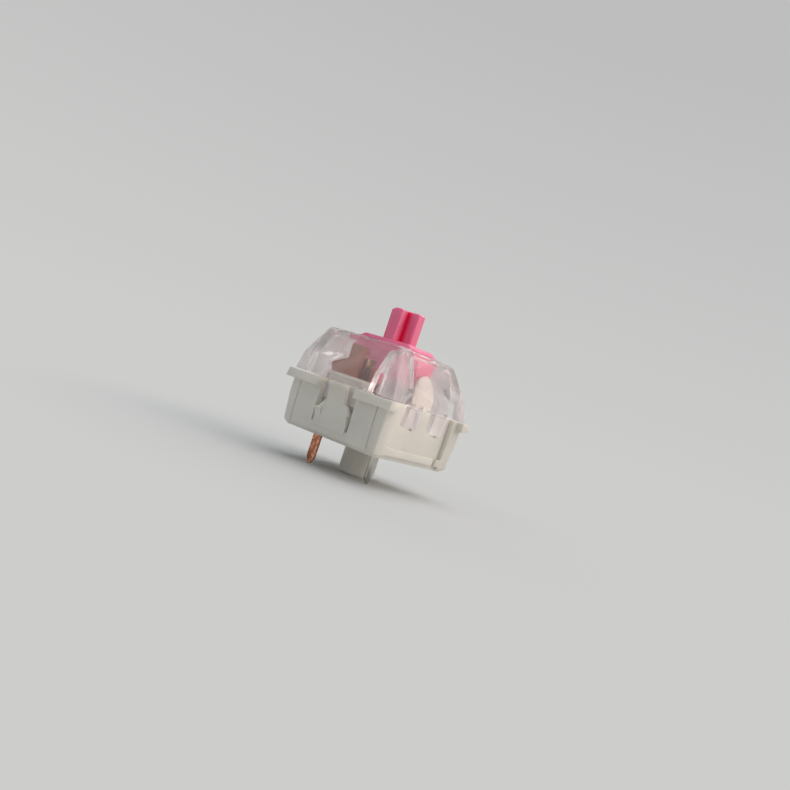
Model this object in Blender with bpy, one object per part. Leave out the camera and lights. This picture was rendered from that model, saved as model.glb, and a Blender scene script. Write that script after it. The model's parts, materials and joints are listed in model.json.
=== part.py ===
"""A plate-mounted keyboard switch of the cross-stem kind, as the pieces that it is put together from.

The Z axis is the axis of the stem and of the centre post, and the origin is at the foot of that post, level
with the tips of the pins. The contact side, with both pins below it, faces -Y. The two latch sides face +X
and -X, and the lamp window is on the +Y side.
Lengths are in millimetres and heights are counted from the circuit board, on which the lower housing lies.
Each finished mesh is raised by the length of the post and scaled to metres.
"""
import math

import bmesh
import bpy
from mathutils import Matrix, Vector

MM = 0.001

# Heights above the circuit board, and lengths along Z
PLATE_SEAT_Z = 5.0
PLATE_THICKNESS = 1.5
HOUSING_TOP_Z = 11.6
SHOULDER_HEIGHT = 12.25
CROSS_HEIGHT = 3.6
PIN_LENGTH = 3.3
TRAVEL = 4.0

# How far a cutter runs past what it cuts, and a solid into the one that it is welded to
CUT_SPARE = 1.0
WELD_DEPTH = 0.3
FLUSH_STEP = 0.001
ROUND_SIDES = 32
SMALL_SIDES = 16

# Clearances
SEAT_GAP = 0.1
SLIDE_GAP = 0.3
CONTACT_GAP = 0.3

# Lower housing, outside
BODY_HALF = 6.98
BODY_TAPER = 0.2
BODY_CORNER = 0.3
BOTTOM_CHAMFER = 0.4
FLANGE_HALF = 7.8
FLANGE_THICKNESS = 1.0
FLANGE_DRAFT = 0.12
FLANGE_CORNER = 0.7
CLIP_OPENING_HALF = 2.65
LATCH_OPENING_HALF = 5.9
GROOVE_CENTRE = 5.62
GROOVE_WIDTH = 0.2
GROOVE_DEPTH = 0.1

# Lower housing, inside
FLOOR_THICKNESS = 1.0
CONTACT_WALL = 0.9
LATCH_WALL = 2.15
CAVITY_CORNER = 0.6
INNER_WALL_HALF = 3.3
INNER_WALL_TOP_Z = 7.1
INNER_WALL_GAP = 0.13
POST_RADIUS = 2.0
POST_CHAMFER = 0.3
POST_BORE_RADIUS = 1.2
COLLAR_RADIUS = 1.7
COLLAR_TOP_Z = 3.2
LAMP_WINDOW_HALF = 2.6
LAMP_WINDOW_DEPTH = 2.2
LAMP_WINDOW_INSET = 0.25
GUIDE_HALF = 1.75
GUIDE_TOP_Z = 9.5
GUIDE_TIP = 0.25
GUIDE_ARC_STEPS = 6

# Latch side of the lower housing
RECESS_HALF = 5.1
RECESS_DEPTH = 0.6
LIP_BOTTOM_Z = 0.5
LIP_TOP_Z = 1.3
LIP_NOTCH_START = 3.7
LIP_NOTCH_WIDTH = 0.7
POCKET_CENTRE = 2.35
POCKET_WIDTH = 2.4
POCKET_BOTTOM_Z = 3.55
POCKET_DEPTH_TOP = 0.95
POCKET_DEPTH_BOTTOM = 0.35

# Plate clip on the two other sides
CLIP_SLIT_BOTTOM_Z = 1.35
CLIP_THICKNESS = 0.55
CLIP_HALF = 2.3
CLIP_SHOULDER_Z = 2.9
CLIP_NECK_Z = 3.95
CLIP_NECK_HALF = 1.45
CLIP_TAB_HALF = 1.2
CLIP_TAB_LEAN = 0.55
CLIP_LIP_HALF = 1.25
CLIP_LIP_HEIGHT = 0.4
CLIP_LIP_REACH = 0.15
CLIP_NUB_REACH = 0.35
CLIP_NUB_WIDTH = 0.8
CLIP_NUB_HEIGHT = 1.1
CLIP_NUB_RISE = 0.15

# Upper housing
SKIRT_HALF = 7.2
SHOULDER_Z = 8.2
SHOULDER_HALF_X = 6.75
SHOULDER_FRONT = 7.05
SHOULDER_BACK = 6.6
ROOF_HALF_X = 5.3
ROOF_FRONT = 5.95
ROOF_BACK = 4.3
UPPER_CORNER = 0.45
UPPER_CORNER_STEPS = 3
UPPER_WALL = 0.6
ROOF_THICKNESS = 0.8
ROOF_BEVEL = 0.2
OPENING_CORNER = 0.4
PILLAR_INNER_Y = 3.5
PILLAR_FOOT_X = 3.45
PILLAR_HEAD_X = 3.75
PILLAR_BEND_Z = 10.2
PILLAR_BEND_RADIUS = 0.8
PILLAR_BEND_STEPS = 4
WING_SLOT_DEPTH = 0.8
WING_SLOT_TOP_Z = 8.2
FLAP_BOTTOM_Z = 4.05
FLAP_THICKNESS = 0.5
LAMP_HOLE_RADIUS = 1.55
LAMP_HOLE_SHIFT = 0.3
LEG_TIP_GAP = 0.25
LEG_PROUD = 0.5

# Stem
CROSS_LENGTH = 4.0
CROSS_ARM_X = 1.3
CROSS_ARM_Y = 1.15
CROSS_CHAMFER = 0.25
SHOULDER_HALF_LENGTH = 3.8
SHOULDER_HALF_WIDTH = 2.55
SHOULDER_BEVEL = 0.45
SHOULDER_END_SLOPE = 0.6
SHOULDER_SIDE_SLOPE = 0.2
SLIDER_CORNER = 0.3
SLIDER_BOTTOM_Z = 7.6
SLIDER_TOP_WALL = 1.9
WING_HALF_WIDTH = 1.5
WING_HEIGHT = 2.2
POLE_RADIUS = 0.95
POLE_BOTTOM_Z = 2.2
POLE_CHAMFER = 0.25
SPRING_POCKET_RADIUS = 2.35
LEG_CENTRE = 2.0
LEG_WIDTH = 0.85
LEG_NOSE_BOTTOM_Z = 7.0
LEG_NOSE_HEIGHT = 0.9
LEG_NOSE_CHAMFER = 0.35
LEG_UNDERCUT = 0.2
LEG_ROOT_TOP_Z = 10.0

# Return spring
SPRING_WIRE = 0.28
SPRING_OUTER_RADIUS = 2.12
SPRING_TURNS = 9
SPRING_END_TURNS = 1
SPRING_END_SPREAD = 1.05
SPRING_STEPS = 14
SPRING_SIDES = 6

# Contacts
SHEET = 0.3
PIN_WIDTH = 1.1
PIN_POINT = 0.7
PIN_TIP_HALF = 0.12
LEAF_PIN_X = -2.54
LEAF_PIN_Y = -5.08
FIXED_PIN_X = 3.81
FIXED_PIN_Y = -2.54
BLADE_LOW_X = -1.6
BLADE_HIGH_X = 0.4
BLADE_TOP_Z = 10.4
BLADE_FLANGE = 0.75
WING_TIP_X = -3.7
WING_LOW_Z = 7.0
WING_TIP_Z = 8.1
WING_ROOT_Z = 8.8
WING_STEP = 0.5
FRAME_LOW_Z = 1.1
FRAME_HALF = 2.3
FRAME_MARGIN = 0.3
LEAF_SHEET = 0.12
LEAF_HINGE_Z = 3.1
LEAF_FOOT_HEIGHT = 1.2
LEAF_TOP_Z = 9.3
LEAF_TONGUE_HALF = 0.6
LEAF_ARM_WIDTH = 0.8
LEAF_ARM_TOP_Z = 8.6
LEAF_SLOT_BOTTOM_Z = 4.6
TIP_RADIUS = 0.4
TIP_HEIGHT = 0.25
TIP_FACE_SHARE = 0.7
TIP_Z = 8.7
FIXED_HALF = 0.85
FIXED_TOP_Z = 9.3

# Values that follow from the sizes above
FLANGE_TOP_Z = PLATE_SEAT_Z + FLANGE_THICKNESS
PLATE_UNDERSIDE_Z = PLATE_SEAT_Z - PLATE_THICKNESS
FLAP_INNER_Y = BODY_HALF - CLIP_THICKNESS - SEAT_GAP - FLAP_THICKNESS
SKIRT_BOTTOM_Z = FLANGE_TOP_Z + SEAT_GAP
PANEL_X = BODY_HALF - RECESS_DEPTH
CAVITY_X = BODY_HALF - LATCH_WALL
CAVITY_Y = BODY_HALF - CONTACT_WALL
GUIDE_BACK_X = PANEL_X - POCKET_DEPTH_TOP - SEAT_GAP
ROOF_UNDERSIDE_Z = HOUSING_TOP_Z - ROOF_THICKNESS
WING_TOP_STOP_Z = ROOF_UNDERSIDE_Z - SEAT_GAP
WING_HALF_LENGTH = CAVITY_X - SLIDE_GAP
SPRING_SEAT_Z = FLOOR_THICKNESS + SEAT_GAP
SPRING_TOP_Z = SHOULDER_HEIGHT - SLIDER_TOP_WALL - SEAT_GAP
FRAME_Y = LEAF_PIN_Y
LEAF_Y = FRAME_Y + SHEET / 2 + SLIDE_GAP + LEAF_SHEET / 2
TIP_FACE_Y = LEAF_Y + LEAF_SHEET / 2 + SEAT_GAP + TIP_HEIGHT
FIXED_Y = TIP_FACE_Y + CONTACT_GAP + TIP_HEIGHT + SEAT_GAP + SHEET / 2
LEG_NOSE_Y = LEAF_Y + LEAF_SHEET / 2 + 2 * SEAT_GAP
FIXED_BAR_TOP_Z = LEG_NOSE_BOTTOM_Z - TRAVEL - SLIDE_GAP
POST_BORE_BOTTOM_Z = POLE_BOTTOM_Z - TRAVEL - SLIDE_GAP


def mesh_object(name, points, faces):
    """Makes an object from points and faces, with every face turned outwards."""
    mesh = bpy.data.meshes.new(name)
    mesh.from_pydata([tuple(point) for point in points], [], faces)
    work = bmesh.new()
    work.from_mesh(mesh)
    bmesh.ops.recalc_face_normals(work, faces=work.faces)
    work.to_mesh(mesh)
    work.free()
    made = bpy.data.objects.new(name, mesh)
    bpy.context.scene.collection.objects.link(made)
    return made


def rounded_rectangle(low_x, high_x, low_y, high_y, radius, steps=2):
    """Returns the corners of a rectangle, counter-clockwise, with each corner an arc of some steps."""
    centres = [(high_x - radius, high_y - radius, 0), (low_x + radius, high_y - radius, 90),
               (low_x + radius, low_y + radius, 180), (high_x - radius, low_y + radius, 270)]
    outline = []
    for x, y, start in centres:
        for step in range(steps + 1):
            angle = math.radians(start + 90 * step / steps)
            outline.append((x + radius * math.cos(angle), y + radius * math.sin(angle)))
    return outline


def circle(radius, sides, x=0.0, y=0.0):
    """Returns the corners of a regular polygon of this radius."""
    angles = [2 * math.pi * side / sides for side in range(sides)]
    return [(x + radius * math.cos(angle), y + radius * math.sin(angle)) for angle in angles]


def loft(rings):
    """Joins outlines, each with its own height, into one closed solid that is capped at both ends."""
    count = len(rings[0][0])
    points = [(x, y, z) for outline, z in rings for x, y in outline]
    faces = [list(range(count))]
    faces.append([(len(rings) - 1) * count + corner for corner in range(count)])
    for ring in range(len(rings) - 1):
        for corner in range(count):
            following = (corner + 1) % count
            low = ring * count
            high = low + count
            faces.append([low + corner, low + following, high + following, high + corner])
    return mesh_object("loft", points, faces)


def prism(outline, axis, low, high):
    """Extrudes an outline along an axis. Its pairs are the two other coordinates, in X, Y, Z order."""
    made = loft([(outline, low), (outline, high)])
    if axis == "X":
        made.data.transform(Matrix(((0, 0, 1, 0), (1, 0, 0, 0), (0, 1, 0, 0), (0, 0, 0, 1))))
    if axis == "Y":
        made.data.transform(Matrix(((1, 0, 0, 0), (0, 0, 1, 0), (0, 1, 0, 0), (0, 0, 0, 1))))
        made.data.flip_normals()
    return made


def block(low_x, high_x, low_y, high_y, low_z, high_z):
    """Makes a plain box between two corners."""
    outline = [(low_x, low_y), (high_x, low_y), (high_x, high_y), (low_x, high_y)]
    return loft([(outline, low_z), (outline, high_z)])


def combine(base, tools, operation):
    """Applies one Boolean after another to the base, and removes the tools."""
    for tool in tools:
        modifier = base.modifiers.new("Combine", "BOOLEAN")
        modifier.operation = operation
        modifier.solver = "EXACT"
        modifier.object = tool
    graph = bpy.context.evaluated_depsgraph_get()
    mesh = bpy.data.meshes.new_from_object(base.evaluated_get(graph))
    base.modifiers.clear()
    base.data = mesh
    for tool in tools:
        bpy.data.objects.remove(tool)
    return base


def join(base, *tools):
    """Welds solids that run into each other into one."""
    return combine(base, tools, "UNION")


def cut(base, *tools):
    """Takes the tools away from the base."""
    return combine(base, tools, "DIFFERENCE")


def mirrored(outline):
    """Returns an outline of X and another coordinate, mirrored across X = 0."""
    return [(-x, other) for x, other in reversed(outline)]


def finish(made, name, material, pivot=(0, 0, 0)):
    """Names a piece, raises it off the board, scales it, and puts its origin on the axis it moves about."""
    made.name = name
    made.data.name = name
    made.data.transform(Matrix.Translation(-Vector(pivot)))
    made.data.transform(Matrix.Scale(MM, 4))
    made.location = (Vector(pivot) + Vector((0, 0, PIN_LENGTH))) * MM
    made.data.materials.clear()
    made.data.materials.append(material)
    made.data.shade_smooth()
    made.data.set_sharp_from_angle(angle=math.radians(30))
    return made


def plain_material(name, color, roughness, metallic=0.0, transmission=0.0):
    """Makes a Principled material of one colour."""
    material = bpy.data.materials.new(name)
    material.use_nodes = True
    shader = material.node_tree.nodes["Principled BSDF"]
    shader.inputs["Base Color"].default_value = (*color, 1.0)
    shader.inputs["Roughness"].default_value = roughness
    shader.inputs["Metallic"].default_value = metallic
    shader.inputs["Transmission Weight"].default_value = transmission
    return material


def body_ring(half, z):
    """Returns a ring of the lower housing's square body."""
    return rounded_rectangle(-half, half, -half, half, BODY_CORNER), z


def flange():
    """Makes the plate flange: a drafted square collar with gaps for the clips and the latches."""
    top_half = FLANGE_HALF - FLANGE_DRAFT
    foot = rounded_rectangle(-FLANGE_HALF, FLANGE_HALF, -FLANGE_HALF, FLANGE_HALF, FLANGE_CORNER)
    head = rounded_rectangle(-top_half, top_half, -top_half, top_half, FLANGE_CORNER)
    collar = loft([(foot, PLATE_SEAT_Z), (head, FLANGE_TOP_Z)])
    inside = BODY_HALF - WELD_DEPTH
    beyond = FLANGE_HALF + CUT_SPARE
    low, high = PLATE_SEAT_Z - CUT_SPARE, FLANGE_TOP_Z + CUT_SPARE
    gaps = []
    for side in (-1, 1):
        near, far = sorted((side * inside, side * beyond))
        gaps.append(block(-CLIP_OPENING_HALF, CLIP_OPENING_HALF, near, far, low, high))
        gaps.append(block(near, far, -LATCH_OPENING_HALF, LATCH_OPENING_HALF, low, high))
    return cut(collar, *gaps)


def corner_grooves(bottom_half):
    """Makes the cutters of the fine upright grooves that part the corners from the clip sides."""
    beyond = BODY_HALF + CUT_SPARE
    above = FLANGE_TOP_Z + CUT_SPARE
    low, high = bottom_half - GROOVE_DEPTH, BODY_HALF - GROOVE_DEPTH
    cutters = []
    for side in (-1, 1):
        outline = [(side * low, -CUT_SPARE), (side * low, BOTTOM_CHAMFER), (side * high, PLATE_UNDERSIDE_Z),
                   (side * high, above), (side * beyond, above), (side * beyond, -CUT_SPARE)]
        for centre in (-GROOVE_CENTRE, GROOVE_CENTRE):
            cutters.append(prism(outline, "X", centre - GROOVE_WIDTH / 2, centre + GROOVE_WIDTH / 2))
    return cutters


def inner_wall():
    """Makes the thin upright wall of the contact side, between the skirt's flap and the copper frame."""
    outer = -(FLAP_INNER_Y - SEAT_GAP)
    inner = FRAME_Y - SHEET / 2 - INNER_WALL_GAP
    return block(-INNER_WALL_HALF, INNER_WALL_HALF, outer, inner, FLOOR_THICKNESS / 2, INNER_WALL_TOP_Z)


def latch_side_cuts(side):
    """Makes the cutters of one latch side: the recess, its lip's notch, and two sloping pockets."""
    outer = BODY_HALF + CUT_SPARE
    top_z = FLANGE_TOP_Z + CUT_SPARE
    near, far = sorted((side * PANEL_X, side * outer))
    cutters = [block(near, far, -RECESS_HALF, RECESS_HALF, LIP_TOP_Z, top_z),
               block(near, far, -RECESS_HALF, RECESS_HALF, -CUT_SPARE, LIP_BOTTOM_Z)]
    notch = sorted((side * LIP_NOTCH_START, side * (LIP_NOTCH_START + LIP_NOTCH_WIDTH)))
    cutters.append(block(near, far, notch[0], notch[1], -CUT_SPARE, top_z))
    rise = (POCKET_DEPTH_TOP - POCKET_DEPTH_BOTTOM) / (FLANGE_TOP_Z - POCKET_BOTTOM_Z)
    deepest = POCKET_DEPTH_BOTTOM + rise * (top_z - POCKET_BOTTOM_Z)
    slope = [(side * outer, POCKET_BOTTOM_Z), (side * outer, top_z), (side * (PANEL_X - deepest), top_z),
             (side * (PANEL_X - POCKET_DEPTH_BOTTOM), POCKET_BOTTOM_Z)]
    for centre in (-POCKET_CENTRE, POCKET_CENTRE):
        cutters.append(prism(slope, "Y", centre - POCKET_WIDTH / 2, centre + POCKET_WIDTH / 2))
    return cutters


def plate_clip(side):
    """Makes one springy clip: a tongue with sloping shoulders, two nubs, and a tab with a lip to press."""
    outer = side * BODY_HALF
    inner = side * (BODY_HALF - CLIP_THICKNESS)
    root = CLIP_SLIT_BOTTOM_Z - WELD_DEPTH
    tongue = [(-CLIP_HALF, root), (CLIP_HALF, root), (CLIP_HALF, CLIP_SHOULDER_Z),
              (CLIP_NECK_HALF, CLIP_NECK_Z), (-CLIP_NECK_HALF, CLIP_NECK_Z),
              (-CLIP_HALF, CLIP_SHOULDER_Z)]
    clip = prism(tongue, "Y", min(inner, outer), max(inner, outer))
    lean = side * CLIP_TAB_LEAN
    tab_foot = CLIP_NECK_Z - WELD_DEPTH
    tab = [(inner, tab_foot), (outer, tab_foot), (outer + lean, FLANGE_TOP_Z), (inner + lean, FLANGE_TOP_Z)]
    lip_foot = FLANGE_TOP_Z - CLIP_LIP_HEIGHT
    lip_lean = lean * (lip_foot - tab_foot) / (FLANGE_TOP_Z - tab_foot)
    reach = side * CLIP_LIP_REACH
    lip = [(inner + lip_lean, lip_foot), (outer + lip_lean + reach, lip_foot),
           (outer + lean + reach, FLANGE_TOP_Z), (inner + lean, FLANGE_TOP_Z)]
    pieces = [prism(tab, "X", -CLIP_TAB_HALF, CLIP_TAB_HALF), prism(lip, "X", -CLIP_LIP_HALF, CLIP_LIP_HALF)]
    nub_high = CLIP_SHOULDER_Z + CLIP_NUB_RISE
    nub_low = nub_high - CLIP_NUB_HEIGHT
    nub = [(inner, nub_low), (outer, nub_low), (outer + side * CLIP_NUB_REACH, CLIP_SHOULDER_Z),
           (outer, nub_high), (inner, nub_high)]
    for end in (-1, 1):
        near, far = sorted((end * CLIP_HALF, end * (CLIP_HALF - CLIP_NUB_WIDTH)))
        pieces.append(prism(nub, "X", near, far))
    return join(clip, *pieces)


def guide_post(side):
    """Makes one of the two upright guides for the stem's wings, which end in a round head."""
    inner = side * (CAVITY_X + FLUSH_STEP)
    low = FLANGE_TOP_Z - WELD_DEPTH
    straight = GUIDE_TOP_Z - GUIDE_HALF
    arc = [math.pi * step / GUIDE_ARC_STEPS for step in range(GUIDE_ARC_STEPS + 1)]
    outline = [(-GUIDE_HALF, low), (GUIDE_HALF, low)]
    outline += [(GUIDE_HALF * math.cos(angle), straight + GUIDE_HALF * math.sin(angle)) for angle in arc]
    foot = side * GUIDE_BACK_X
    tip = side * (CAVITY_X + GUIDE_TIP)
    near, far = sorted((inner, foot))
    post = prism(outline, "X", near, far)
    spare = side * (GUIDE_BACK_X + CUT_SPARE)
    above = GUIDE_TOP_Z + CUT_SPARE
    slope = [(foot, FLANGE_TOP_Z), (tip, GUIDE_TOP_Z), (tip, above), (spare, above), (spare, FLANGE_TOP_Z)]
    return cut(post, prism(slope, "Y", -GUIDE_HALF - CUT_SPARE, GUIDE_HALF + CUT_SPARE))


def pin_slot(x, y, half_x, half_y):
    """Makes the cutter of a slot in the floor that a contact's pin goes through."""
    return block(x - half_x - SEAT_GAP, x + half_x + SEAT_GAP, y - half_y - SEAT_GAP, y + half_y + SEAT_GAP,
                 -CUT_SPARE, FLOOR_THICKNESS + CUT_SPARE)


def lower_housing():
    """Moulds the lower housing: open tub, flange, clips, latch recesses, guides, collar and centre post."""
    bottom_half = BODY_HALF - BODY_TAPER
    tub = loft([body_ring(bottom_half - BOTTOM_CHAMFER, 0), body_ring(bottom_half, BOTTOM_CHAMFER),
                body_ring(BODY_HALF, PLATE_UNDERSIDE_Z), body_ring(BODY_HALF, FLANGE_TOP_Z)])
    tub = join(cut(tub, *corner_grooves(bottom_half)), flange())
    cavity = rounded_rectangle(-CAVITY_X, CAVITY_X, -CAVITY_Y, CAVITY_Y, CAVITY_CORNER)
    above = FLANGE_TOP_Z + CUT_SPARE
    openings = [loft([(cavity, FLOOR_THICKNESS), (cavity, above)])]
    for side in (-1, 1):
        near, far = sorted((side * (CAVITY_Y - WELD_DEPTH), side * (BODY_HALF + CUT_SPARE)))
        openings.append(block(-CLIP_OPENING_HALF, CLIP_OPENING_HALF, near, far, CLIP_SLIT_BOTTOM_Z, above))
        openings.extend(latch_side_cuts(side))
    window_high = CAVITY_Y - LAMP_WINDOW_INSET
    openings.append(block(-LAMP_WINDOW_HALF, LAMP_WINDOW_HALF, window_high - LAMP_WINDOW_DEPTH, window_high,
                          -CUT_SPARE, FLOOR_THICKNESS + CUT_SPARE))
    tub = cut(tub, *openings)
    post = loft([(circle(POST_RADIUS - POST_CHAMFER, ROUND_SIDES), -PIN_LENGTH),
                 (circle(POST_RADIUS, ROUND_SIDES), -PIN_LENGTH + POST_CHAMFER),
                 (circle(POST_RADIUS, ROUND_SIDES), FLOOR_THICKNESS / 2)])
    collar_outline = circle(COLLAR_RADIUS, ROUND_SIDES)
    collar = loft([(collar_outline, FLOOR_THICKNESS / 2), (collar_outline, COLLAR_TOP_Z)])
    tub = join(tub, post, collar, guide_post(-1), guide_post(1), plate_clip(-1), plate_clip(1), inner_wall())
    bore_outline = circle(POST_BORE_RADIUS, ROUND_SIDES)
    bore = loft([(bore_outline, POST_BORE_BOTTOM_Z), (bore_outline, COLLAR_TOP_Z + CUT_SPARE)])
    slots = [pin_slot(LEAF_PIN_X, LEAF_PIN_Y, PIN_WIDTH / 2, SHEET / 2),
             pin_slot(FIXED_PIN_X, FIXED_PIN_Y, SHEET / 2, PIN_WIDTH / 2)]
    return cut(tub, bore, *slots)


def upper_ring(z, inset=0.0):
    """Returns the upper housing's outline at a height, drawn in by an inset."""
    if z <= SHOULDER_Z:
        share = (z - SKIRT_BOTTOM_Z) / (SHOULDER_Z - SKIRT_BOTTOM_Z)
        start = (SKIRT_HALF, SKIRT_HALF, SKIRT_HALF)
        end = (SHOULDER_HALF_X, SHOULDER_FRONT, SHOULDER_BACK)
    else:
        share = (z - SHOULDER_Z) / (HOUSING_TOP_Z - SHOULDER_Z)
        start = (SHOULDER_HALF_X, SHOULDER_FRONT, SHOULDER_BACK)
        end = (ROOF_HALF_X, ROOF_FRONT, ROOF_BACK)
    half_x, front, back = ((1 - share) * a + share * b - inset for a, b in zip(start, end))
    return rounded_rectangle(-half_x, half_x, -front, back, UPPER_CORNER, UPPER_CORNER_STEPS), z


def corner_pillar(side_x, side_y):
    """Makes a thick corner of the upper housing. Its inner face leans out and bends away under the roof."""
    steepest = math.asin((ROOF_UNDERSIDE_Z - PILLAR_BEND_Z) / PILLAR_BEND_RADIUS)
    outline = [(PILLAR_FOOT_X, SKIRT_BOTTOM_Z - 2 * CUT_SPARE), (PILLAR_FOOT_X, SKIRT_BOTTOM_Z)]
    for step in range(PILLAR_BEND_STEPS + 1):
        angle = steepest * step / PILLAR_BEND_STEPS
        outline.append((PILLAR_HEAD_X + PILLAR_BEND_RADIUS * (1 - math.cos(angle)),
                        PILLAR_BEND_Z + PILLAR_BEND_RADIUS * math.sin(angle)))
    beyond = SKIRT_HALF + CUT_SPARE
    above = ROOF_UNDERSIDE_Z + CUT_SPARE
    outline += [(outline[-1][0], above), (beyond, above), (beyond, SKIRT_BOTTOM_Z - 2 * CUT_SPARE)]
    if side_x < 0:
        outline = mirrored(outline)
    near, far = sorted((side_y * PILLAR_INNER_Y, side_y * beyond))
    return prism(outline, "Y", near, far)


def wing_slot(side):
    """Makes the cutter of the slot in a contact-side pillar that leaves room for the copper wing."""
    near, far = sorted((side * (PILLAR_FOOT_X - WELD_DEPTH), side * (PILLAR_FOOT_X + WING_SLOT_DEPTH)))
    half = SHEET / 2 + SEAT_GAP
    return block(near, far, FRAME_Y - half, FRAME_Y + half, SKIRT_BOTTOM_Z - CUT_SPARE, WING_SLOT_TOP_Z)


def snap_leg(side, centre):
    """Makes a leg that reaches down into a pocket of the lower housing and bears on its slope."""
    rise = (POCKET_DEPTH_TOP - POCKET_DEPTH_BOTTOM) / (FLANGE_TOP_Z - POCKET_BOTTOM_Z)
    foot_z = POCKET_BOTTOM_Z + LEG_TIP_GAP
    head_z = SKIRT_BOTTOM_Z + WELD_DEPTH

    def ramp(z):
        return PANEL_X - POCKET_DEPTH_BOTTOM - rise * (z - POCKET_BOTTOM_Z) + SEAT_GAP

    outline = [(side * ramp(foot_z), foot_z), (side * (PANEL_X + LEG_PROUD), foot_z),
               (side * BODY_HALF, SKIRT_BOTTOM_Z), (side * BODY_HALF, head_z),
               (side * ramp(FLANGE_TOP_Z), head_z), (side * ramp(FLANGE_TOP_Z), FLANGE_TOP_Z)]
    half = POCKET_WIDTH / 2 - SEAT_GAP
    return prism(outline, "Y", centre - half, centre + half)


def skirt_flap(side):
    """Makes the flap that hangs from the skirt into the opening behind a plate clip."""
    outer = side * (FLAP_INNER_Y + FLAP_THICKNESS)
    inner = side * FLAP_INNER_Y
    rim = side * (SKIRT_HALF - UPPER_WALL / 2)
    head_z = SKIRT_BOTTOM_Z + UPPER_WALL
    outline = [(inner, FLAP_BOTTOM_Z), (outer, FLAP_BOTTOM_Z), (outer, SKIRT_BOTTOM_Z), (rim, SKIRT_BOTTOM_Z),
               (rim, head_z), (inner, head_z)]
    half = CLIP_OPENING_HALF - SEAT_GAP
    return prism(outline, "X", -half, half)


def upper_housing():
    """Moulds the clear upper housing: a tapered shell with thick corners, roof opening, legs and flaps."""
    shell = loft([upper_ring(SKIRT_BOTTOM_Z), upper_ring(SHOULDER_Z), upper_ring(HOUSING_TOP_Z - ROOF_BEVEL),
                  upper_ring(HOUSING_TOP_Z, ROOF_BEVEL)])
    hollow = loft([upper_ring(SKIRT_BOTTOM_Z - CUT_SPARE, UPPER_WALL), upper_ring(SHOULDER_Z, UPPER_WALL),
                   upper_ring(ROOF_UNDERSIDE_Z, UPPER_WALL)])
    hollow = cut(hollow, *[corner_pillar(side_x, side_y) for side_x in (-1, 1) for side_y in (-1, 1)])
    shell = cut(shell, hollow, wing_slot(-1), wing_slot(1))
    legs = [snap_leg(side, centre) for side in (-1, 1) for centre in (-POCKET_CENTRE, POCKET_CENTRE)]
    shell = join(shell, *legs, skirt_flap(-1), skirt_flap(1))
    opening_x = SHOULDER_HALF_LENGTH + SLIDE_GAP
    opening_y = SHOULDER_HALF_WIDTH + SLIDE_GAP
    opening = rounded_rectangle(-opening_x, opening_x, -opening_y, opening_y, OPENING_CORNER)
    above = HOUSING_TOP_Z + CUT_SPARE
    roof_hole = loft([(opening, ROOF_UNDERSIDE_Z - CUT_SPARE), (opening, above)])
    lamp_outline = circle(LAMP_HOLE_RADIUS, ROUND_SIDES, 0, (ROOF_BACK + SHOULDER_BACK) / 2 - LAMP_HOLE_SHIFT)
    lamp_hole = loft([(lamp_outline, SHOULDER_Z), (lamp_outline, above)])
    return cut(shell, roof_hole, lamp_hole)


def stem_leg(centre):
    """Makes one of the two legs that hold the contact leaf off while the key is up."""
    back = -SHOULDER_HALF_WIDTH + WELD_DEPTH
    nose_top = LEG_NOSE_BOTTOM_Z + LEG_NOSE_HEIGHT
    outline = [(back, SLIDER_BOTTOM_Z + LEG_UNDERCUT), (LEG_NOSE_Y + LEG_NOSE_CHAMFER, LEG_NOSE_BOTTOM_Z),
               (LEG_NOSE_Y, LEG_NOSE_BOTTOM_Z + LEG_NOSE_CHAMFER), (LEG_NOSE_Y, nose_top),
               (back, LEG_ROOT_TOP_Z)]
    return prism(outline, "X", centre - LEG_WIDTH / 2, centre + LEG_WIDTH / 2)


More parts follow.
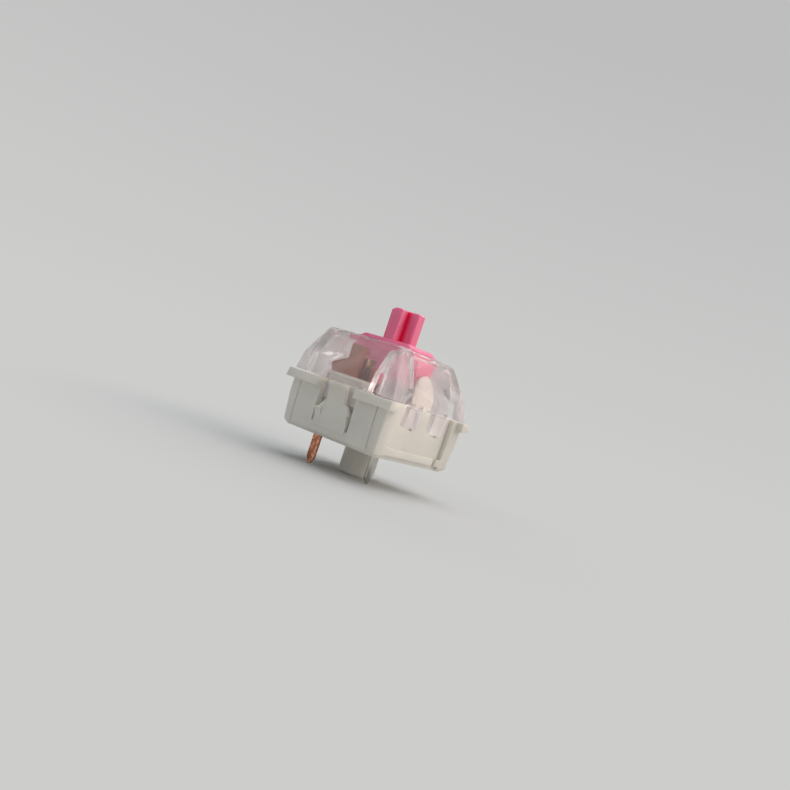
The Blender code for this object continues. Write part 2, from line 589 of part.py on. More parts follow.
def stem():
    """Moulds the stem: the keycap's cross, bevelled shoulder, hollow slider, wings, legs and pole."""
    length, width = SHOULDER_HALF_LENGTH, SHOULDER_HALF_WIDTH
    foot = rounded_rectangle(-length, length, -width, width, SLIDER_CORNER)
    head_length, head_width = length - SHOULDER_END_SLOPE, width - SHOULDER_SIDE_SLOPE
    head = rounded_rectangle(-head_length, head_length, -head_width, head_width, SLIDER_CORNER)
    bevel_z = SHOULDER_HEIGHT - SHOULDER_BEVEL
    slider = loft([(foot, SLIDER_BOTTOM_Z), (foot, bevel_z), (head, SHOULDER_HEIGHT)])
    wings = block(-WING_HALF_LENGTH, WING_HALF_LENGTH, -WING_HALF_WIDTH, WING_HALF_WIDTH,
                  WING_TOP_STOP_Z - WING_HEIGHT, WING_TOP_STOP_Z)
    slider = join(slider, wings)
    pocket_top = SHOULDER_HEIGHT - SLIDER_TOP_WALL
    pocket_outline = circle(SPRING_POCKET_RADIUS, ROUND_SIDES)
    slider = cut(slider, loft([(pocket_outline, SLIDER_BOTTOM_Z - CUT_SPARE), (pocket_outline, pocket_top)]))
    pole = loft([(circle(POLE_RADIUS - POLE_CHAMFER, SMALL_SIDES), POLE_BOTTOM_Z),
                 (circle(POLE_RADIUS, SMALL_SIDES), POLE_BOTTOM_Z + POLE_CHAMFER),
                 (circle(POLE_RADIUS, SMALL_SIDES), pocket_top + WELD_DEPTH)])
    half = CROSS_LENGTH / 2
    top = SHOULDER_HEIGHT + CROSS_HEIGHT
    chamfer = CROSS_CHAMFER / 2
    arms = []
    for half_x, half_y in ((half, CROSS_ARM_X / 2), (CROSS_ARM_Y / 2, half)):
        wide = rounded_rectangle(-half_x, half_x, -half_y, half_y, chamfer, steps=1)
        slim = rounded_rectangle(-half_x + chamfer, half_x - chamfer, -half_y + chamfer, half_y - chamfer,
                                 chamfer, steps=1)
        arms.append(loft([(wide, SHOULDER_HEIGHT - WELD_DEPTH), (wide, top - chamfer), (slim, top)]))
    return join(slider, pole, stem_leg(-LEG_CENTRE), stem_leg(LEG_CENTRE), *arms)


def return_spring():
    """Coils the return spring: open turns between closed end turns, as a tube along a helix."""
    wire = SPRING_WIRE / 2
    radius = SPRING_OUTER_RADIUS - wire
    low, high = SPRING_SEAT_Z + wire, SPRING_TOP_Z - wire
    end_rise = SPRING_WIRE * SPRING_END_SPREAD
    open_rise = (high - low - 2 * SPRING_END_TURNS * end_rise) / SPRING_TURNS
    steps = SPRING_STEPS * (SPRING_TURNS + 2 * SPRING_END_TURNS)

    def rise(turn):
        end = SPRING_END_TURNS
        lower = min(turn, end) * end_rise
        open_part = min(max(turn - end, 0), SPRING_TURNS) * open_rise
        return lower + open_part + max(turn - end - SPRING_TURNS, 0) * end_rise

    points = []
    for step in range(steps + 1):
        turn = step / SPRING_STEPS
        angle = 2 * math.pi * turn
        outward = Vector((math.cos(angle), math.sin(angle), 0))
        centre = outward * radius + Vector((0, 0, low + rise(turn)))
        for side in range(SPRING_SIDES):
            around = 2 * math.pi * side / SPRING_SIDES
            across = outward * wire * math.cos(around)
            points.append(centre + across + Vector((0, 0, wire * math.sin(around))))
    faces = [list(range(SPRING_SIDES)), [steps * SPRING_SIDES + side for side in range(SPRING_SIDES)]]
    for step in range(steps):
        for side in range(SPRING_SIDES):
            following = (side + 1) % SPRING_SIDES
            near, far = step * SPRING_SIDES, (step + 1) * SPRING_SIDES
            faces.append([near + side, near + following, far + following, far + side])
    return mesh_object("spring", points, faces)


def pin_outline(centre, top_z):
    """Returns a flat pin's outline, which narrows to a point at its lower end."""
    half = PIN_WIDTH / 2
    return [(centre - half, top_z), (centre - half, -PIN_LENGTH + PIN_POINT),
            (centre - PIN_TIP_HALF, -PIN_LENGTH), (centre + PIN_TIP_HALF, -PIN_LENGTH),
            (centre + half, -PIN_LENGTH + PIN_POINT), (centre + half, top_z)]


def leaf_terminal():
    """Stamps the copper terminal: pin, upright frame with a side wing, blade, and the blade's bent flange."""
    low_y, high_y = FRAME_Y - SHEET / 2, FRAME_Y + SHEET / 2
    pin = prism(pin_outline(LEAF_PIN_X, FRAME_LOW_Z + WELD_DEPTH), "Y", low_y, high_y)
    frame = [(LEAF_PIN_X - PIN_WIDTH / 2 - FRAME_MARGIN, FRAME_LOW_Z), (FRAME_HALF, FRAME_LOW_Z),
             (FRAME_HALF, WING_LOW_Z - WING_STEP), (BLADE_HIGH_X, WING_LOW_Z), (BLADE_HIGH_X, BLADE_TOP_Z),
             (BLADE_LOW_X, BLADE_TOP_Z), (BLADE_LOW_X, WING_ROOT_Z), (WING_TIP_X + WING_STEP / 2, WING_TIP_Z),
             (WING_TIP_X, WING_TIP_Z - WING_STEP / 2), (WING_TIP_X + WING_STEP, WING_LOW_Z)]
    sheet = prism(frame, "Y", low_y, high_y)
    flange_plate = block(BLADE_HIGH_X - SHEET, BLADE_HIGH_X, FRAME_Y, FRAME_Y + BLADE_FLANGE,
                         LEAF_TOP_Z + SLIDE_GAP, BLADE_TOP_Z - SEAT_GAP)
    return join(sheet, pin, flange_plate)


def contact_leaf():
    """Stamps the thin springy leaf: a foot, two arms that the stem's legs hold off, and a middle tongue."""
    arm = LEG_CENTRE + LEAF_ARM_WIDTH / 2
    inner = LEG_CENTRE - LEAF_ARM_WIDTH / 2
    right = [(LEAF_TONGUE_HALF, LEAF_SLOT_BOTTOM_Z), (inner, LEAF_SLOT_BOTTOM_Z), (inner, LEAF_ARM_TOP_Z),
             (arm, LEAF_ARM_TOP_Z), (arm, LEAF_HINGE_Z - LEAF_FOOT_HEIGHT)]
    outline = [(-LEAF_TONGUE_HALF, LEAF_TOP_Z), (LEAF_TONGUE_HALF, LEAF_TOP_Z)] + right + mirrored(right)
    return prism(outline, "Y", LEAF_Y - LEAF_SHEET / 2, LEAF_Y + LEAF_SHEET / 2)


def stood_up(made):
    """Swaps Y and Z, so that a solid lofted upwards points along Y."""
    made.data.transform(Matrix(((1, 0, 0, 0), (0, 0, 1, 0), (0, 1, 0, 0), (0, 0, 0, 1))))
    made.data.flip_normals()
    return made


def contact_tip(foot_y, way):
    """Makes a round contact tip that stands on a sheet at a depth and points along +Y or -Y."""
    wide = circle(TIP_RADIUS, SMALL_SIDES, 0, TIP_Z)
    small = circle(TIP_RADIUS * TIP_FACE_SHARE, SMALL_SIDES, 0, TIP_Z)
    middle_y = foot_y + way * TIP_HEIGHT / 2
    return stood_up(loft([(wide, foot_y), (wide, middle_y), (small, foot_y + way * TIP_HEIGHT)]))


def fixed_terminal():
    """Stamps the silver terminal: pin, a low bar along the floor, and an upright between the stem's legs."""
    low_y, high_y = FIXED_Y - SHEET / 2, FIXED_Y + SHEET / 2
    low_x, high_x = FIXED_PIN_X - SHEET / 2, FIXED_PIN_X + SHEET / 2
    pin = prism(pin_outline(FIXED_PIN_Y, FIXED_BAR_TOP_Z), "X", low_x, high_x)
    side_wall = block(low_x, high_x, low_y, FIXED_PIN_Y + PIN_WIDTH / 2, FRAME_LOW_Z, FIXED_BAR_TOP_Z)
    upright = [(-FIXED_HALF, FRAME_LOW_Z), (FIXED_PIN_X, FRAME_LOW_Z), (FIXED_PIN_X, FIXED_BAR_TOP_Z),
               (FIXED_HALF, FIXED_BAR_TOP_Z), (FIXED_HALF, FIXED_TOP_Z), (-FIXED_HALF, FIXED_TOP_Z)]
    return join(prism(upright, "Y", low_y, high_y), side_wall, pin)


def build():
    """Empties the scene and makes every piece."""
    for old in list(bpy.data.objects):
        bpy.data.objects.remove(old)
    clear = plain_material("clear polycarbonate", (0.86, 0.82, 0.86), 0.12, transmission=0.9)
    ivory = plain_material("ivory nylon", (0.80, 0.77, 0.70), 0.45)
    pink = plain_material("pink acetal", (0.75, 0.12, 0.25), 0.35)
    copper = plain_material("bare copper", (0.60, 0.30, 0.20), 0.35, metallic=1.0)
    silver = plain_material("tinned brass", (0.72, 0.70, 0.66), 0.35, metallic=1.0)
    steel = plain_material("spring steel", (0.65, 0.65, 0.66), 0.25, metallic=1.0)
    gold = plain_material("gold alloy", (0.80, 0.60, 0.25), 0.25, metallic=1.0)
    finish(lower_housing(), "lower_housing", ivory)
    finish(upper_housing(), "upper_housing", clear)
    finish(stem(), "stem", pink)
    finish(return_spring(), "return_spring", steel)
    finish(leaf_terminal(), "leaf_terminal", copper)
    leaf_axis = (0, LEAF_Y, LEAF_HINGE_Z)
    finish(contact_leaf(), "contact_leaf", copper, leaf_axis)
    finish(contact_tip(LEAF_Y + LEAF_SHEET / 2 + SEAT_GAP, 1), "moving_contact_tip", gold, leaf_axis)
    finish(fixed_terminal(), "fixed_terminal", silver)
    finish(contact_tip(FIXED_Y - SHEET / 2 - SEAT_GAP, -1), "fixed_contact_tip", gold)


build()
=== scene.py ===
import json
import math

import bmesh
import bpy
import numpy as np
from mathutils import Matrix, Vector

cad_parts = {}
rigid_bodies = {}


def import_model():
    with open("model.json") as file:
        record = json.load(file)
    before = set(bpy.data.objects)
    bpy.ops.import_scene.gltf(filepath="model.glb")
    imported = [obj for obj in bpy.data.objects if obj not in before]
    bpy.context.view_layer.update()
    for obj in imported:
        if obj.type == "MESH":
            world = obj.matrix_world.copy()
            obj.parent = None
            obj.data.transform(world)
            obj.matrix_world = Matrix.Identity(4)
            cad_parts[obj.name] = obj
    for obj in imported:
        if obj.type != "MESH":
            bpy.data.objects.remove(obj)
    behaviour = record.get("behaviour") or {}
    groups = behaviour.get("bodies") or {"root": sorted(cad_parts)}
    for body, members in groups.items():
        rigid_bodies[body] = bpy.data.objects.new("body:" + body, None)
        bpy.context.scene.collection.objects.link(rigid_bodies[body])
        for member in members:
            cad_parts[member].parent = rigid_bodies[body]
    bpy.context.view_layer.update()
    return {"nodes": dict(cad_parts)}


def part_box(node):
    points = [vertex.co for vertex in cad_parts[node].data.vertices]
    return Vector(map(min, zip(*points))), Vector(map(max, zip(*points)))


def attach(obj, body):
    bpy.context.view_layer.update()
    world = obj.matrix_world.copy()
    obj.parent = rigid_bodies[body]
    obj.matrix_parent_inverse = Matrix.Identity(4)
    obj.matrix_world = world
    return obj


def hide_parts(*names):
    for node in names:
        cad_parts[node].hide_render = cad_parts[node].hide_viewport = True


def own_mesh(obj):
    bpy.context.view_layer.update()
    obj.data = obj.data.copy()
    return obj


for left_over in list(bpy.data.objects):
    bpy.data.objects.remove(left_over)
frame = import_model()

# Camera. It stands level with the middle of the switch, off its near corner, and rolls, so that the switch
# leans over to the right as it does where it lies.
MM = 0.001
CAMERA_AZIMUTH = math.radians(38.34)
CAMERA_ELEVATION = math.radians(0.98)
CAMERA_ROLL = math.radians(18.54)
CAMERA_DISTANCE = 94.2 * MM
CAMERA_TARGET = Vector((0, 0, 8.3)) * MM
CAMERA_LENS = 38.54
CAMERA_SHIFT = (0.0214, 0.0126)
NEAREST = 1 * MM
FARTHEST = 10

toward_camera = Vector((math.sin(CAMERA_AZIMUTH) * math.cos(CAMERA_ELEVATION),
                        -math.cos(CAMERA_AZIMUTH) * math.cos(CAMERA_ELEVATION),
                        math.sin(CAMERA_ELEVATION)))
level = Vector((math.cos(CAMERA_AZIMUTH), math.sin(CAMERA_AZIMUTH), 0))
upright = toward_camera.cross(level)
picture_right = level * math.cos(CAMERA_ROLL) + upright * math.sin(CAMERA_ROLL)
picture_up = upright * math.cos(CAMERA_ROLL) - level * math.sin(CAMERA_ROLL)
camera = bpy.data.objects.new("camera", bpy.data.cameras.new("camera"))
bpy.context.scene.collection.objects.link(camera)
turned = Matrix((picture_right, picture_up, toward_camera)).transposed().to_4x4()
camera.matrix_world = Matrix.Translation(CAMERA_TARGET + toward_camera * CAMERA_DISTANCE) @ turned
camera.data.lens = CAMERA_LENS
camera.data.shift_x, camera.data.shift_y = CAMERA_SHIFT
camera.data.clip_start = NEAREST
camera.data.clip_end = FARTHEST
bpy.context.scene.camera = camera


# Lower housing. One moulding of ivory nylon, with its edges broken by the tool's small radii.
# The spark-eroded mould leaves a fine satin grain, and the thick walls let a little light in. This grain and
# those of the other pieces are drawn coarse enough to show.
def linear(code):
    """Turns a hex colour, as it looks on a screen, into the linear colour that a shader takes."""
    parts = [int(code[start:start + 2], 16) / 255 for start in (0, 2, 4)]
    return (*[part / 12.92 if part <= 0.04045 else ((part + 0.055) / 1.055) ** 2.4 for part in parts], 1.0)


def add_node(tree, kind, values=None, links=None, **settings):
    """Adds a node with its settings, the values of its sockets, and the outputs that feed its sockets."""
    node = tree.nodes.new(kind)
    for name, value in settings.items():
        setattr(node, name, value)
    for socket, value in (values or {}).items():
        node.inputs[socket].default_value = value
    for socket, output in (links or {}).items():
        tree.links.new(output, node.inputs[socket])
    return node


def new_material(name, **values):
    """Starts a material with these shader values. Returns it, its tree, shader and Object coordinates."""
    material = bpy.data.materials.new(name)
    material.use_nodes = True
    tree = material.node_tree
    shader = tree.nodes["Principled BSDF"]
    for socket, value in values.items():
        shader.inputs[socket.replace("_", " ")].default_value = value
    place = add_node(tree, "ShaderNodeTexCoord").outputs["Object"]
    return material, tree, shader, place


def mottle(tree, place, size, low, high):
    """Gives a colour that wanders between two close shades, in soft patches of this size in metres."""
    patches = add_node(tree, "ShaderNodeTexNoise", {"Scale": 1 / size, "Detail": PATCH_DETAIL},
                       {"Vector": place})
    shades = add_node(tree, "ShaderNodeValToRGB", links={"Fac": patches.outputs["Fac"]})
    for stop, position, code in zip(shades.color_ramp.elements, PATCH_CONTRAST, (low, high)):
        stop.position = position
        stop.color = linear(code)
    return shades.outputs["Color"]


def grain(tree, shader, place, size, depth, strength):
    """Roughens a surface with an even grain of this size and depth in metres."""
    pits = add_node(tree, "ShaderNodeTexNoise", {"Scale": 1 / size, "Detail": GRAIN_DETAIL},
                    {"Vector": place})
    bump = add_node(tree, "ShaderNodeBump", {"Distance": depth, "Strength": strength},
                    {"Height": pits.outputs["Fac"]})
    tree.links.new(bump.outputs["Normal"], shader.inputs["Normal"])


def rounded_copy(node, body, radius, material):
    """Copies a node, merges its loose triangles into flat faces, and rounds its edges by this radius."""
    work = bmesh.new()
    work.from_mesh(frame["nodes"][node].data)
    bmesh.ops.remove_doubles(work, verts=work.verts, dist=MERGE_DISTANCE)
    bmesh.ops.dissolve_limit(work, angle_limit=FLAT_ANGLE, verts=work.verts, edges=work.edges)
    mesh = bpy.data.meshes.new(node + "_rounded")
    work.to_mesh(mesh)
    work.free()
    mesh.materials.append(material)
    mesh.shade_smooth()
    made = bpy.data.objects.new(node + "_rounded", mesh)
    bpy.context.scene.collection.objects.link(made)
    bevel = made.modifiers.new("Broken edges", "BEVEL")
    bevel.width = radius
    bevel.segments = EDGE_SEGMENTS
    bevel.limit_method = "ANGLE"
    bevel.angle_limit = EDGE_ANGLE
    bevel.harden_normals = True
    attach(made, body)
    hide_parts(node)
    return made


PATCH_DETAIL = 3.0
PATCH_CONTRAST = (0.35, 0.65)
GRAIN_DETAIL = 2.0
MERGE_DISTANCE = 1e-7
FLAT_ANGLE = math.radians(0.5)
EDGE_ANGLE = math.radians(28)
EDGE_SEGMENTS = 2
NYLON_EDGE = 0.09 * MM
MOULD_GRAIN = 0.12 * MM
nylon, tree, shader, place = new_material("moulded ivory nylon", Roughness=0.42, IOR=1.53,
                                          Subsurface_Weight=0.4, Subsurface_Scale=1.0 * MM,
                                          Subsurface_Radius=(1.0, 0.85, 0.6))
tree.links.new(mottle(tree, place, size=4 * MM, low="D9D6CC", high="DFDCD3"), shader.inputs["Base Color"])
grain(tree, shader, place, MOULD_GRAIN, depth=0.01 * MM, strength=0.25)
rounded_copy("lower_housing", "housing", NYLON_EDGE, nylon)

# Upper housing. One moulding of clear polycarbonate, snapped on to the lower housing.
# Its walls are polished, and its corner pillars and legs are frosted by the spark-eroded mould. Clear
# plastic lets light through, so it casts no shadow here, and what is inside is lit as it is outside.
CLEAR_EDGE = 0.1 * MM
FLOW_MARKS = 1.6 * MM
POLISH = 0.02
FROST = 0.3
WALL_CLEARNESS = 0.94
FROSTED_CLEARNESS = 0.55
FROST_STARTS = 4.6 * MM
FROST_FULL = 5.6 * MM
LEG_TOP = 9.6 * MM
LEG_FROST_FULL = 9.1 * MM
clear, tree, shader, place = new_material("clear polycarbonate", Roughness=POLISH, IOR=1.4, Alpha=0.9,
                                          Transmission_Weight=WALL_CLEARNESS)
tree.links.new(mottle(tree, place, size=3 * MM, low="EEE7E6", high="FCF9F9"), shader.inputs["Base Color"])
grain(tree, shader, place, FLOW_MARKS, depth=0.02 * MM, strength=0.1)

# The values above are those of the polished walls, and the links below frost the corners and the legs.
folded = add_node(tree, "ShaderNodeVectorMath", links={0: place}, operation="ABSOLUTE").outputs["Vector"]
sides = add_node(tree, "ShaderNodeSeparateXYZ", links={0: folded}).outputs
cornerward = add_node(tree, "ShaderNodeMath", links={0: sides["X"], 1: sides["Y"]}, operation="MINIMUM")
pillars = add_node(tree, "ShaderNodeMapRange", {"From Min": FROST_STARTS, "From Max": FROST_FULL,
                                                "To Min": POLISH, "To Max": FROST},
                   {"Value": cornerward.outputs["Value"]})
legs = add_node(tree, "ShaderNodeMapRange", {"From Min": LEG_TOP, "From Max": LEG_FROST_FULL,
                                             "To Min": POLISH, "To Max": FROST}, {"Value": sides["Z"]})
frosted = add_node(tree, "ShaderNodeMath", links={0: pillars.outputs["Result"], 1: legs.outputs["Result"]},
                   operation="MAXIMUM").outputs["Value"]
clearness = add_node(tree, "ShaderNodeMapRange", {"From Min": POLISH, "From Max": FROST,
                                                  "To Min": WALL_CLEARNESS, "To Max": FROSTED_CLEARNESS},
                     {"Value": frosted})
tree.links.new(frosted, shader.inputs["Roughness"])
tree.links.new(clearness.outputs["Result"], shader.inputs["Transmission Weight"])
upper = rounded_copy("upper_housing", "housing", CLEAR_EDGE, clear)
upper.visible_shadow = False

# Stem. One moulding of pink acetal, whose cross takes the keycap.
# The plastic is slightly waxy, and the cross's inner corners are painted a deeper crimson, as painted shade
# that stands for the light caught there.
# Each of those corners lies half an arm's thickness from the two axes.
ACETAL_EDGE = 0.08 * MM
CROSS_CORNER = (0.575 * MM, 0.65 * MM, 0.0)
CORNER_SHADE_CRIMSON = "F20E4E"
CORNER_SHADE_FULL = 0.05 * MM
CORNER_SHADE_REACH = 0.7 * MM
pink, tree, shader, place = new_material("moulded pink acetal", Roughness=0.36, IOR=1.48,
                                         Subsurface_Weight=0.5, Subsurface_Scale=1.0 * MM,
                                         Subsurface_Radius=(1.0, 0.2, 0.3))
body_colour = mottle(tree, place, size=3 * MM, low="EC6C94", high="F07AA0")
folded = add_node(tree, "ShaderNodeVectorMath", links={0: place}, operation="ABSOLUTE").outputs["Vector"]
flattened = add_node(tree, "ShaderNodeVectorMath", {1: (1, 1, 0)}, {0: folded}, operation="MULTIPLY")
from_corner = add_node(tree, "ShaderNodeVectorMath", {1: CROSS_CORNER}, {0: flattened.outputs["Vector"]},
                       operation="DISTANCE")
# Painted shade: the pink turns crimson towards the cross's inner corners.
corner_shade_closeness = add_node(tree, "ShaderNodeMapRange", {"From Min": CORNER_SHADE_REACH, "From Max": CORNER_SHADE_FULL},
                     {"Value": from_corner.outputs["Value"]}, interpolation_type="SMOOTHSTEP")
painted_corner_shade = add_node(tree, "ShaderNodeMix", {"B": linear(CORNER_SHADE_CRIMSON)},
                    {"Factor": corner_shade_closeness.outputs["Result"], "A": body_colour}, data_type="RGBA")
tree.links.new(painted_corner_shade.outputs["Result"], shader.inputs["Base Color"])
grain(tree, shader, place, MOULD_GRAIN, depth=0.008 * MM, strength=0.2)
rounded_copy("stem", "stem", ACETAL_EDGE, pink)


# Return spring. Bright drawn steel wire with a closed turn at each end, between the floor and the stem.
def tube(name, points, material):
    """Makes a mesh of a grid of points, whose columns run round and close, and caps its two end rows."""
    rows, columns = points.shape[:2]
    row = np.arange(rows - 1)[:, None]
    column = np.arange(columns)[None, :]
    following = (column + 1) % columns
    quads = np.stack(np.broadcast_arrays(row * columns + column, row * columns + following,
                                         (row + 1) * columns + following, (row + 1) * columns + column), -1)
    first_cap = list(range(columns))[::-1]
    last_cap = list(range((rows - 1) * columns, rows * columns))
    faces = quads.reshape(-1, 4).tolist() + [first_cap, last_cap]
    mesh = bpy.data.meshes.new(name)
    mesh.from_pydata(points.reshape(-1, 3).tolist(), [], faces)
    mesh.materials.append(material)
    work = bmesh.new()
    work.from_mesh(mesh)
    bmesh.ops.recalc_face_normals(work, faces=work.faces)
    work.to_mesh(mesh)
    work.free()
    mesh.shade_smooth()
    made = bpy.data.objects.new(name, mesh)
    bpy.context.scene.collection.objects.link(made)
    return made


def coil(radius, wire, low, high, turns, end_spread):
    """Winds a wire: a circle of wire radius carried along a helix whose first and last turn lie closed.

    The helix rises by the wire's thickness times end_spread over each end turn, and evenly between them.
    """
    turn = np.linspace(0, turns, turns * STEPS_A_TURN)
    end_rise = 2 * wire * end_spread
    closed = np.minimum(turn, 1) + np.maximum(turn - (turns - 1), 0)
    opened = np.clip((turn - 1) / (turns - 2), 0, 1)
    rise = low + wire + closed * end_rise + opened * (high - low - 2 * wire - 2 * end_rise)
    flat = np.zeros_like(turn)
    outward = np.stack([np.cos(2 * np.pi * turn), np.sin(2 * np.pi * turn), flat], -1)
    middle = outward * radius + np.stack([flat, flat, rise], -1)
    around = np.linspace(0, 2 * np.pi, WIRE_SIDES, endpoint=False)[None, :, None]
    upward = np.array([0, 0, 1.0])
    return middle[:, None] + wire * (np.cos(around) * outward[:, None] + np.sin(around) * upward)


STEPS_A_TURN = 40
WIRE_SIDES = 12
SPRING_TURNS = 11
SPRING_WIRE = 0.14 * MM
SPRING_END_SPREAD = 1.05
spring_low, spring_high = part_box("return_spring")
steel, tree, shader, place = new_material("drawn spring steel", Base_Color=linear("C9C9CB"), Roughness=0.25,
                                          Metallic=1.0)
grain(tree, shader, place, size=0.1 * MM, depth=0.004 * MM, strength=0.2)
spring = tube("coil_spring", coil(spring_high.x - SPRING_WIRE, SPRING_WIRE, spring_low.z, spring_high.z,
                                  SPRING_TURNS, SPRING_END_SPREAD), steel)
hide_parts("return_spring")
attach(spring, "housing")
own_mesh(spring)

# Copper terminal and its leaf. Stamped from bare copper alloy sheet, darker and even above the pin and
# lighter and specked on the pin. The specks are the sheet's own, and the pin's lightness is painted light
# that makes up for the shade the pin stands in.
# The blade and the pin are one sheet, and the thin leaf is joined to it low down.
SHEET_EDGE = 0.04 * MM
LEAF_EDGE = 0.015 * MM
ROLLED_GRAIN = 0.15 * MM
EVEN_BLADE_FROM = 4.5 * MM
LIT_PIN_BELOW = 3 * MM
copper, tree, shader, place = new_material("bare copper sheet", Roughness=0.48, Metallic=1.0)
above_tips = add_node(tree, "ShaderNodeSeparateXYZ", links={0: place}).outputs["Z"]
# Painted light: the colour lightens from the blade down to the pin, to make up for the shade the pin stands
# in.
toward_lit_pin = add_node(tree, "ShaderNodeMapRange", {"From Min": EVEN_BLADE_FROM, "From Max": LIT_PIN_BELOW},
                   {"Value": above_tips})
even_blade_colour = mottle(tree, place, size=1.5 * MM, low="965A42", high="A4664C")
specked_lit_pin_colour = mottle(tree, place, size=0.3 * MM, low="A4604A", high="EDAC8A")
blade_and_lit_pin = add_node(tree, "ShaderNodeMix", links={"Factor": toward_lit_pin.outputs["Result"], "A": even_blade_colour,
                                              "B": specked_lit_pin_colour}, data_type="RGBA")
tree.links.new(blade_and_lit_pin.outputs["Result"], shader.inputs["Base Color"])
grain(tree, shader, place, ROLLED_GRAIN, depth=0.012 * MM, strength=0.6)
rounded_copy("leaf_terminal", "housing", SHEET_EDGE, copper)
rounded_copy("contact_leaf", "leaf", LEAF_EDGE, copper)

# Second terminal. The same kind of stamping as the copper one, plated with tin.
# The plating is paler than the copper, and its shine is sharper.
tin, tree, shader, place = new_material("tin plated brass", Roughness=0.16, Metallic=1.0)
tree.links.new(mottle(tree, place, size=1.2 * MM, low="B4B2AA", high="CBC9C0"), shader.inputs["Base Color"])
grain(tree, shader, place, ROLLED_GRAIN, depth=0.008 * MM, strength=0.3)
rounded_copy("fixed_terminal", "housing", SHEET_EDGE, tin)

# Contact tips. Two small rivets of gold alloy that face each other across the contact's gap, one on the leaf
# and one on the second terminal. Gold doesn't tarnish, so their shine is warm and bright.
TIP_EDGE = 0.03 * MM
gold, tree, shader, place = new_material("gold contact alloy", Base_Color=linear("D9AE5F"), Roughness=0.22,
                                         Metallic=1.0)
grain(tree, shader, place, size=0.08 * MM, depth=0.004 * MM, strength=0.2)
for node, body in (("moving_contact_tip", "leaf"), ("fixed_contact_tip", "housing")):
    rounded_copy(node, body, TIP_EDGE, gold)


# Floor and backdrop. A pale matt sheet that takes the switch's shadow, and fades all round into the same
# grey as the backdrop, so that no horizon shows. The backdrop darkens a little towards the top.
def seen_directly(tree):
    """Gives 1 for a ray that the camera, a reflection or clear plastic sends, and 0 for light on its way."""
    rays = add_node(tree, "ShaderNodeLightPath").outputs
    mirrored = add_node(tree, "ShaderNodeMath", links={0: rays["Is Camera Ray"], 1: rays["Is Glossy Ray"]},
                        operation="MAXIMUM").outputs["Value"]
    return add_node(tree, "ShaderNodeMath", links={0: mirrored, 1: rays["Is Transmission Ray"]},
                    operation="MAXIMUM").outputs["Value"]


BACKDROP_LOW = "CDCECC"
BACKDROP_HIGH = "BEBEBE"
BACKDROP_RISE = 0.42
FILL = "E4E8EE"
FILL_STRENGTH = 0.42
FLOOR_REACH = 2.0
FLOOR_NEAR = 8 * MM
FLOOR_FAR = 45 * MM
floor_mesh = bpy.data.meshes.new("floor")
floor_mesh.from_pydata([(-FLOOR_REACH, -FLOOR_REACH, 0), (FLOOR_REACH, -FLOOR_REACH, 0),
                        (FLOOR_REACH, FLOOR_REACH, 0), (-FLOOR_REACH, FLOOR_REACH, 0)], [], [(0, 1, 2, 3)])
floor = bpy.data.objects.new("floor", floor_mesh)
bpy.context.scene.collection.objects.link(floor)
paper, tree, shader, place = new_material("pale matt paper", Base_Color=linear(BACKDROP_LOW), Roughness=0.9,
                                          Specular_IOR_Level=0.0)
from_foot = add_node(tree, "ShaderNodeVectorMath", links={0: place}, operation="LENGTH").outputs["Value"]
faded = add_node(tree, "ShaderNodeMapRange", {"From Min": FLOOR_NEAR, "From Max": FLOOR_FAR},
                 {"Value": from_foot}, interpolation_type="SMOOTHERSTEP")
glow = add_node(tree, "ShaderNodeEmission", {"Color": linear(BACKDROP_LOW), "Strength": 1.0})
mixed = add_node(tree, "ShaderNodeMixShader", links={0: faded.outputs["Result"], 1: shader.outputs["BSDF"],
                                                     2: glow.outputs["Emission"]})
shown = add_node(tree, "ShaderNodeMixShader", links={0: seen_directly(tree), 1: shader.outputs["BSDF"],
                                                     2: mixed.outputs["Shader"]})
tree.links.new(shown.outputs["Shader"], tree.nodes["Material Output"].inputs["Surface"])
floor_mesh.materials.append(paper)

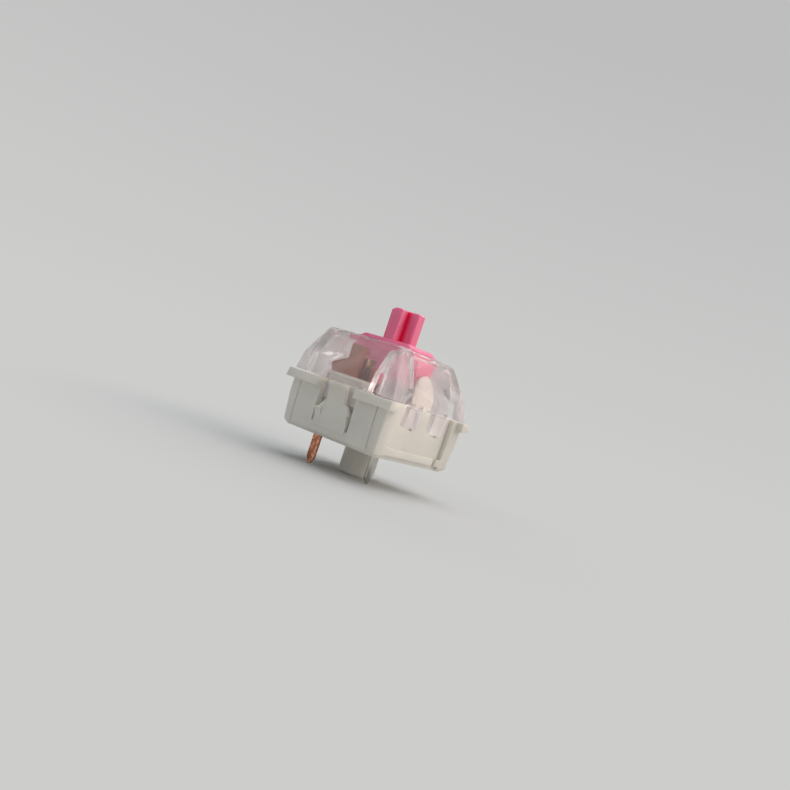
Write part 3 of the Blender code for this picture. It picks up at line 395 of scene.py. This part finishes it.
world = bpy.data.worlds.new("studio")
bpy.context.scene.world = world
world.use_nodes = True
tree = world.node_tree
direction = add_node(tree, "ShaderNodeTexCoord").outputs["Generated"]
steepness = add_node(tree, "ShaderNodeSeparateXYZ", links={0: direction}).outputs["Z"]
risen = add_node(tree, "ShaderNodeMapRange", {"From Min": 0.0, "From Max": BACKDROP_RISE},
                 {"Value": steepness})
shades = add_node(tree, "ShaderNodeMix", {"A": linear(BACKDROP_LOW), "B": linear(BACKDROP_HIGH)},
                  {"Factor": risen.outputs["Result"]}, data_type="RGBA")
backdrop = tree.nodes["Background"]
tree.links.new(shades.outputs["Result"], backdrop.inputs["Color"])
fill = add_node(tree, "ShaderNodeBackground", {"Color": linear(FILL), "Strength": FILL_STRENGTH})
both = add_node(tree, "ShaderNodeMixShader", links={0: seen_directly(tree), 1: fill.outputs["Background"],
                                                    2: backdrop.outputs["Background"]})
tree.links.new(both.outputs["Shader"], tree.nodes["World Output"].inputs["Surface"])

# Lamps. A large soft box above and behind, a warm one behind the latch side, a faint cool one in front, and
# two small ones that give the clear plastic its bright patch and its crisp white lines.
# Together they light a level sheet so that a colour renders about as it is written.
LAMPS = {  # where each stands and how wide it is, in metres, its power in watts, and its colour
    "top_box": ((0.03, 0.10, 0.30), 0.42, 0.78, "FFFFFF"),
    "warm_box": ((0.21, 0.10, 0.10), 0.16, 0.215, "FFEAE0"),
    "cool_box": ((-0.12, -0.24, 0.12), 0.20, 0.05, "F2F5FF"),
    "left_glint": ((-0.235, -0.160, 0.120), 0.018, 0.007, "FFFFFF"),
    "corner_glint": ((0.178, -0.140, 0.200), 0.03, 0.012, "FFFFFF")}
for name, (stand, width, power, code) in LAMPS.items():
    lamp = bpy.data.lights.new(name, "AREA")
    lamp.size = width
    lamp.energy = power
    lamp.color = linear(code)[:3]
    box = bpy.data.objects.new(name, lamp)
    box.location = stand
    box.rotation_euler = (CAMERA_TARGET - Vector(stand)).to_track_quat("-Z", "Y").to_euler()
    bpy.context.scene.collection.objects.link(box)

bpy.context.scene.view_settings.view_transform = "Standard"
